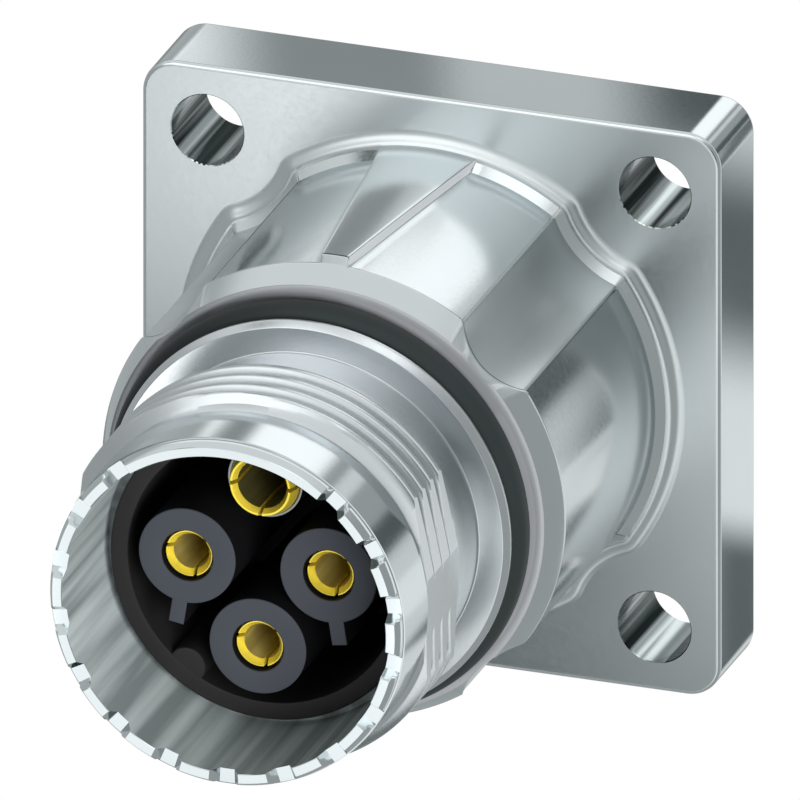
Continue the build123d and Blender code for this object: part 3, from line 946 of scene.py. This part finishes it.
def grown(name, tree, material, sizes=None, mesh=None):
    """Runs a tree on a mesh, or on nothing, and keeps the plain mesh that it makes."""
    holder = placed(name, mesh or bpy.data.meshes.new(name))
    grow = holder.modifiers.new("grow", "NODES")
    grow.node_group = tree
    named = {item.name: item.identifier for item in tree.interface.items_tree if item.in_out == "INPUT"}
    grow[named["Material"]] = material
    for size, value in (sizes or {}).items():
        grow[named[size]] = value
    return mended(plain_mesh(holder), sliver=sliver_size)


# %% A grid that is rolled up round the axis
def flat_grid(tree, size):
    """A flat grid with its points' places, and each point's share of a turn and its row."""
    square = {"Size X": 1.0, "Size Y": 1.0, "Vertices X": size["Columns"], "Vertices Y": size["Rows"]}
    grid = added(tree, "GeometryNodeMeshGrid", square)
    place = tree.nodes.new("GeometryNodeInputPosition").outputs[0]
    parts = added(tree, "ShaderNodeSeparateXYZ", {0: place})
    share = Term(tree, parts.outputs["X"]) + 0.5
    row = ((Term(tree, parts.outputs["Y"]) + 0.5) * (size["Rows"] - 1.0)).math("ROUND")
    return grid.outputs["Mesh"], place, share, row


def roll_up(tree, given, out, grid, radius, turn, height):
    """Moves a grid's points to a radius, an angle in radians and a height in metres, and ends the tree."""
    place = {"X": radius * turn.math("COSINE"), "Y": -flange_t * MM - height, "Z": radius * turn.math("SINE")}
    point = added(tree, "ShaderNodeCombineXYZ", place)
    move = added(tree, "GeometryNodeSetPosition", {"Geometry": grid, "Position": point.outputs[0]})
    merge = added(tree, "GeometryNodeMergeByDistance", {"Geometry": move.outputs[0], "Distance": 4e-7})
    end_tree(tree, given, out, merge.outputs[0])


# %% The thread's rule
steps_a_turn, crest_share, flank_share = 16.0, 0.2, 0.26


def thread_tree():
    sizes = {
        "Columns": 721,
        "Rows": 93,
        "Pitch": thread_pitch * MM,
        "Crest Radius": thread_r * MM,
        "Root Radius": thread_root_r * MM,
        "Inner Radius": 7.4 * MM,
        "Relief Radius": relief_r * MM,
        "Nose Radius": nose_r * MM,
        "Start": (thread_z - thread_lead) * MM,
        "Lead": thread_lead * MM,
        "End": nose_z * MM,
        "First Crest": 0.7,
        "Rounding": 0.9 * MM,
    }
    tree, given, out, size = rule_tree("coupling_thread", sizes)
    grid, _, share, row = flat_grid(tree, size)
    climb = (row - 1.0) / steps_a_turn + share - 1.0
    height = (size["Start"] + size["Pitch"] * climb).most(size["Start"]).least(size["End"])
    phase = (height - size["Start"]) / size["Pitch"] - share - size["First Crest"]
    height = height - row.over(size["Rows"] - 1.5) * (size["End"] - size["Start"])
    away = (phase - (phase + 0.5).math("FLOOR")).math("ABSOLUTE")
    slope = (size["Crest Radius"] - size["Root Radius"]) / flank_share
    tooth = size["Crest Radius"] - (away - crest_share).most(0.0) * slope - away * away * size["Rounding"]
    from_start = (height - size["Start"]) / size["Lead"]
    rear = size["Relief Radius"] + from_start * (size["Crest Radius"] - size["Relief Radius"])
    past_end = (height - size["End"] + size["Lead"]) / size["Lead"]
    front = size["Crest Radius"] - past_end * (size["Crest Radius"] - size["Nose Radius"])
    radius = tooth.most(size["Root Radius"]).least(rear).least(front)
    hidden = (0.5 - row).over(0.0).most(row.over(size["Rows"] - 2.5))
    radius = radius + (size["Inner Radius"] - radius) * hidden
    roll_up(tree, given, out, grid, radius, share * tau, height)
    return tree


# %% The plain gaps, milled through the thread
def gap_outline(turn):
    """The cutter of one gap: two flats that meet in a low crease and run out through the crest."""
    (low_turn, low_r), (high_turn, high_r) = gap_flats
    spread, beyond = radians(high_turn - low_turn), thread_r + 0.5
    crease = atan2(high_r / low_r - cos(spread), sin(spread))
    low_end = low_turn - degrees(acos(low_r / beyond))
    high_end = high_turn + degrees(acos(high_r / beyond))
    knots = [(beyond, low_end), (low_r / cos(crease), low_turn + degrees(crease)), (beyond, high_end)]
    knots += [(beyond * 1.3, high_end), (beyond * 1.3, low_end)]
    return [(r * cos(radians(angle + turn)), r * sin(radians(angle + turn))) for r, angle in knots]


thread_mesh = grown("thread", thread_tree(), plated_metal)
low = thread_z - thread_lead
gap_cutter = joined("gaps", [plate("gap", [gap_outline(turn)], low, nose_z, 0) for turn in (0, 180)])
thread = finished("housing_thread", carved(thread_mesh, gap_cutter), turned_metal, 12.0)
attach(thread, "root")
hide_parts("housing")

# %% [markdown]
# ## Nose with its notched rim
#
# Fifteen notches stand every 20 degrees, and three are left out at the top. The plain nose's profile goes
# into the tree as points. The grid takes its rows from them, and then no point may stand higher than the
# rule for the notches allows. That is what a milling cutter does too.

# %% The nose's rule
notch_places = 18.0


def nose_tree():
    sizes = {
        "Columns": 1441,
        "Rows": 20,
        "Places": notch_places,
        "Left Out": radians(30.0),
        "Mouth": notch_mouth / 2 * MM,
        "Floor": notch_floor / 2 * MM,
        "Depth": notch_depth * MM,
        "Rim": rim_z * MM,
        "Flank Radius": (nose_bore_r + rim_face_r) / 2 * MM,
    }
    tree, given, out, size = rule_tree("notched_nose", sizes)
    grid, place, share, row = flat_grid(tree, size)
    turn = share * tau
    point = {"Geometry": given["Geometry"], "Value": place, "Index": row}
    profile = added(tree, "GeometryNodeSampleIndex", point, data_type="FLOAT_VECTOR")
    taken = added(tree, "ShaderNodeSeparateXYZ", {0: profile.outputs["Value"]})
    radius, height = Term(tree, taken.outputs["X"]), Term(tree, taken.outputs["Z"])
    cell = turn * size["Places"] / tau
    off = (cell - cell.math("FLOOR") - 0.5) / size["Places"] * tau
    reach = (off.math("SINE") * size["Flank Radius"]).math("ABSOLUTE")
    dip = ((size["Mouth"] - reach) / (size["Mouth"] - size["Floor"])).most(0.0).least(1.0)
    dip = dip * (turn - pi / 2).math("ABSOLUTE").over(size["Left Out"])
    height = height.least(size["Rim"] - dip * size["Depth"])
    roll_up(tree, given, out, grid, radius, turn, height)
    return tree


# %% The nose's profile, and the nose
bevel_z = rim_z - rim_bevel_len
nose_profile = [
    (main_bore_r, thread_z, 0),
    (7.5, thread_z, 0),
    (7.6, nose_z, 0),
    (nose_r, nose_z, 0),
    (nose_r, nose_z + 1.5, 0),
    (nose_r, bevel_z - 0.06, 0),
    (nose_r - 0.05, bevel_z - 0.05, 0),
    (nose_r - 0.05, bevel_z, 0),
    (nose_r - 0.1, rim_z - 0.25, 0),
    (rim_face_r + 0.01, rim_z - 0.03, 0),
    (rim_face_r - 0.02, rim_z, 0),
    ((rim_face_r + nose_bore_r) / 2, rim_z, 0),
    (nose_bore_r + 0.03, rim_z, 0),
    (nose_bore_r, rim_z - 0.03, 0),
    (nose_bore_r, rim_z - 0.3, 0),
    (nose_bore_r, rim_z - notch_depth, 0),
    (nose_bore_r, rim_z - 2.5, 0),
    (nose_bore_r, rim_z - nose_bore_len, 0),
    (main_bore_r, rim_z - nose_bore_len, 0),
]
points = [(r * MM, 0, z * MM) for r, z in eased(nose_profile)]
points.append(points[0])
profile_mesh = bpy.data.meshes.new("nose_profile")
profile_mesh.from_pydata(points, [], [])
print("rows of the nose:", len(points))
nose_mesh = grown("nose", nose_tree(), plated_metal, {"Rows": len(points)}, profile_mesh)
nose = finished("housing_nose", nose_mesh, plated_metal)


def is_bored(centre, normal):
    """The wall of the nose's bore, behind its edge."""
    return off_axis(centre) < nose_bore_r + 0.01 and -centre.y < rim_z + flange_t - 0.03


# The bore's wall is nearly matt, with streaks of painted reflection along the axis.
painted(nose, bore_painted_reflections, is_bored)
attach(nose, "root")
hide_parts("housing")

# %% [markdown]
# ## Insert, sleeves and contacts
#
# The insert is a black moulded cup with a bright line on its inner edge. Three grey sleeves and the contacts
# stand in it. The contacts are turned first and then sawn, and the saw cuts repeat round the contact, so
# Geometry Nodes place them and cut them out.

# %% Sizes of the inside
cup_r, cup_rim_r, cup_rear_r, cavity_r, cavity_depth = 6.78, 8.13, 7.0, 6.0, 9.6
boss_r, boss_pitch_r, boss_turn = 0.81, 5.92, radians(235)
cup_front = rim_z - 5.05
cavity_floor = cup_front - cavity_depth
sleeve_front = rim_z - 4.31
contact_front = sleeve_front - 0.3
seat_z, collar_rear = 3.4 - flange_t, 1.25 - flange_t
contact_pitch_r = 3.17
contact_angles = {"left": 171.0, "right": 9.0, "lower": 270.0}
earth_y = 3.99
leg_turns = {"left": 90.0, "right": -90.0}
leg_w, leg_end_r, leg_edge = 0.67, 3.15, 0.06
contact_places = {}
for name, angle in contact_angles.items():
    contact_places[name] = contact_pitch_r * cos(radians(angle)), contact_pitch_r * sin(radians(angle))


def bar(name, x, y, angle, start, end, width, low, high):
    """A bar that lies along a direction from a point, between two heights, with its front edges rounded."""
    outline = [(start, -width / 2), (end, -width / 2), (end, width / 2), (start, width / 2)]
    mesh = plate(name, [outline], low, high, leg_edge)
    mesh.transform(Matrix.Translation((x * MM, 0, y * MM)) @ Matrix.Rotation(-radians(angle), 4, "Y"))
    return mesh


# %% Insert cup
cup_profile = [
    (cup_rear_r, collar_rear, 0),
    (cup_rim_r, collar_rear, 0.1),
    (cup_rim_r, seat_z, 0.05),
    (cup_r, seat_z, 0),
    (cup_r, cup_front, 0.1),
    (cavity_r, cup_front, 0.08),
    (cavity_r, cavity_floor, 0.1),
    (axis_r, cavity_floor, 0),
    (axis_r, cavity_floor - 1, 0),
    (cavity_r, cavity_floor - 1, 0),
    (cavity_r, collar_rear, 0),
]
boss_front, boss_rear = cup_front - 0.01, cavity_floor - 0.5
boss_profile = [
    (boss_r, boss_rear, 0),
    (boss_r, boss_front, 0.08),
    (axis_r, boss_front, 0),
    (axis_r, boss_rear, 0),
]
boss = turned("boss", boss_profile, 64, boss_pitch_r * cos(boss_turn), boss_pitch_r * sin(boss_turn))
cup = finished("insert_cup", carved(turned("cup", cup_profile), boss, "UNION"), insulator_black)
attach(cup, "root")
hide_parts("insert_cup")

# %% Sleeves
sleeve_r, sleeve_mouth_r, sleeve_bore_r, sleeve_rear_r = 2.14, 1.14, 1.34, 1.25
sleeve_rear, sleeve_step, sleeve_bore_end = cavity_floor - 4.0, sleeve_front - 0.85, contact_front - 8.3
sleeve_profile = [
    (sleeve_rear_r, sleeve_rear, 0),
    (sleeve_r, sleeve_rear, 0.05),
    (sleeve_r, sleeve_front, 0.07),
    (sleeve_mouth_r, sleeve_front, 0.07),
    (sleeve_mouth_r, sleeve_step, 0.03),
    (sleeve_bore_r, sleeve_step, 0),
    (sleeve_bore_r, sleeve_bore_end, 0),
    (sleeve_rear_r, sleeve_bore_end, 0),
]
leg_front = sleeve_front - 0.004
for name, (x, y) in contact_places.items():
    body = turned("sleeve", sleeve_profile, 96, x, y)
    if name in leg_turns:
        turn = contact_angles[name] + leg_turns[name]
        leg = bar("leg", x, y, turn, sleeve_r - 0.4, leg_end_r, leg_w, cavity_floor, leg_front)
        body = carved(body, leg, "UNION")
    sleeve = finished("sleeve_" + name, body, sleeve_grey)
    # Every face behind the front face gets painted shade, near black, while the front stays slate grey.
    painted(sleeve, sleeve_side_painted_shade, lambda centre, normal: -centre.y < sleeve_front + flange_t - 0.06)
    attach(sleeve, "root")
    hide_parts("sleeve_" + name)


# %% Saw cuts, repeated round a contact
def saw_tree():
    sizes = {"Count": 3, "Width": 0.18 * MM, "Length": 6.5 * MM, "Reach": 3.0 * MM, "First": 0.0}
    sizes.update({"X": 0.0, "Y": 0.0, "Front": 0.0})
    tree, given, out, size = rule_tree("saw_cuts", sizes)
    box = {"X": size["Reach"], "Y": size["Length"] * 2.0, "Z": size["Width"]}
    blade = added(tree, "GeometryNodeMeshCube", {"Size": added(tree, "ShaderNodeCombineXYZ", box).outputs[0]})
    aside = added(tree, "ShaderNodeCombineXYZ", {"X": size["Reach"] * 0.5})
    shift = {"Geometry": blade.outputs["Mesh"], "Translation": aside.outputs[0]}
    blade = added(tree, "GeometryNodeTransform", shift)
    place = {"X": size["X"], "Y": -flange_t * MM - size["Front"], "Z": size["Y"]}
    start = added(tree, "ShaderNodeCombineXYZ", place)
    line = {"Count": size["Count"], "Offset": (0, 0, 0), "Start Location": start.outputs[0]}
    spots = added(tree, "GeometryNodeMeshLine", line)
    number = Term(tree, tree.nodes.new("GeometryNodeInputIndex").outputs[0])
    turn = added(tree, "ShaderNodeCombineXYZ", {"Y": 0.0 - size["First"] - number * tau / size["Count"]})
    copies = {"Points": spots.outputs["Mesh"], "Instance": blade.outputs[0], "Rotation": turn.outputs[0]}
    blades = added(tree, "GeometryNodeInstanceOnPoints", copies)
    real = added(tree, "GeometryNodeRealizeInstances", {0: blades.outputs[0]})
    parts = {"Mesh 1": given["Geometry"], "Mesh 2": real.outputs[0], "Self Intersection": True}
    cut = added(tree, "GeometryNodeMeshBoolean", parts, operation="DIFFERENCE", solver="EXACT")
    end_tree(tree, given, out, cut.outputs[0])
    return tree


saw_cuts = saw_tree()


def sawn_contact(name, x, y, profile, count, first, bore_r, inside):
    """A turned contact with its saw cuts, and with painted shade and painted reflection streaks inside its
    bore.
    """
    body = turned(name, profile, 96, x, y)
    sizes = {"Count": count, "First": radians(first), "X": x * MM, "Y": y * MM, "Front": contact_front * MM}
    piece = finished(name, grown(name, saw_cuts, gold, sizes, body), gold)
    mouth = contact_front + flange_t - 0.28

    def in_bore(centre, normal):
        return hypot(centre.x - x, centre.z - y) < bore_r and -centre.y < mouth

    # The bore behind the mouth gets the painted shade that is passed in.
    painted(piece, inside, in_bore)
    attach(piece, "root")
    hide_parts(name)


# %% A contact's profile, from its crimp tail to its sprung bore
tail_r, tail_bore_r, tail_bore_len = 1.35, 0.95, 5.0
tail_z, collar_z = collar_rear - 8.0, collar_rear + 1.3


def contact_profile(collar_r, shank_r, tip, bore_r, relief, tine_len, bore_end):
    """The tail and the collar are alike on all contacts. The tip is a list of corners of its own."""
    return [
        (tail_r, tail_z, 0.08),
        (tail_r, collar_rear, 0),
        (collar_r, collar_rear, 0.05),
        (collar_r, collar_z, 0.05),
        (shank_r, collar_z, 0.05),
        *tip,
        (bore_r, contact_front - 0.3, 0.05),
        (bore_r, contact_front - tine_len, 0),
        (bore_r + relief, contact_front - tine_len - 0.05, 0),
        (bore_r + relief, contact_front - 8.0, 0),
        (axis_r, contact_front - bore_end, 0),
        (axis_r, tail_z + tail_bore_len + 0.5, 0),
        (tail_bore_r, tail_z + tail_bore_len, 0),
        (tail_bore_r, tail_z, 0.08),
    ]


# %% Line contacts
line_tip = [(1.03, contact_front, 0.05), (0.98, contact_front, 0.0)]
line_profile = contact_profile(1.65, 1.03, line_tip, 0.78, 0.03, 2.2, 8.4)
for name, (x, y) in contact_places.items():
    sawn_contact("contact_" + name, x, y, line_profile, 3, 285.0, 0.85, line_bore_painted_shade)

# %% Earth contact and its hood
earth_tip = [(1.51, contact_front - 0.6, 0.1), (1.34, contact_front, 0.06), (1.24, contact_front, 0.04)]
earth_profile = contact_profile(1.9, 1.51, earth_tip, 1.08, 0.04, 2.6, 8.5)
sawn_contact("contact_earth", 0.0, earth_y, earth_profile, 4, 0.0, 1.15, earth_bore_painted_shade)
hood_inner_r, hood_r, hood_top, hood_len = 1.53, 1.67, contact_front - 0.69, 7.6
hood_profile = [
    (hood_inner_r, hood_top - hood_len, 0),
    (hood_r, hood_top - hood_len, 0),
    (hood_r, hood_top, 0.05),
    (hood_inner_r, hood_top, 0.05),
]
hood = finished("hood_earth", turned("hood_earth", hood_profile, 96, 0.0, earth_y), hood_steel)
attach(hood, "root")
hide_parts("hood_earth")

# %% [markdown]
# ## The pieces kept from CAD
#
# The parts behind the insert hardly show, so the CAD solids stay and only get their finishes.

# %% Finishes on the CAD pieces
kept = {
    "rear_insulator": insulator_black,
    "retaining_ring": hood_steel,
    "curved_washer": hood_steel,
    "earth_spring": spring_bronze,
    "insert_seal": seal_rubber,
    "hood_left": hood_steel,
    "hood_right": hood_steel,
    "hood_lower": hood_steel,
}
for name, material in kept.items():
    mesh = frame["nodes"][name].data
    mesh.materials.clear()
    mesh.materials.append(material)
print("kept from CAD:", sorted(kept))
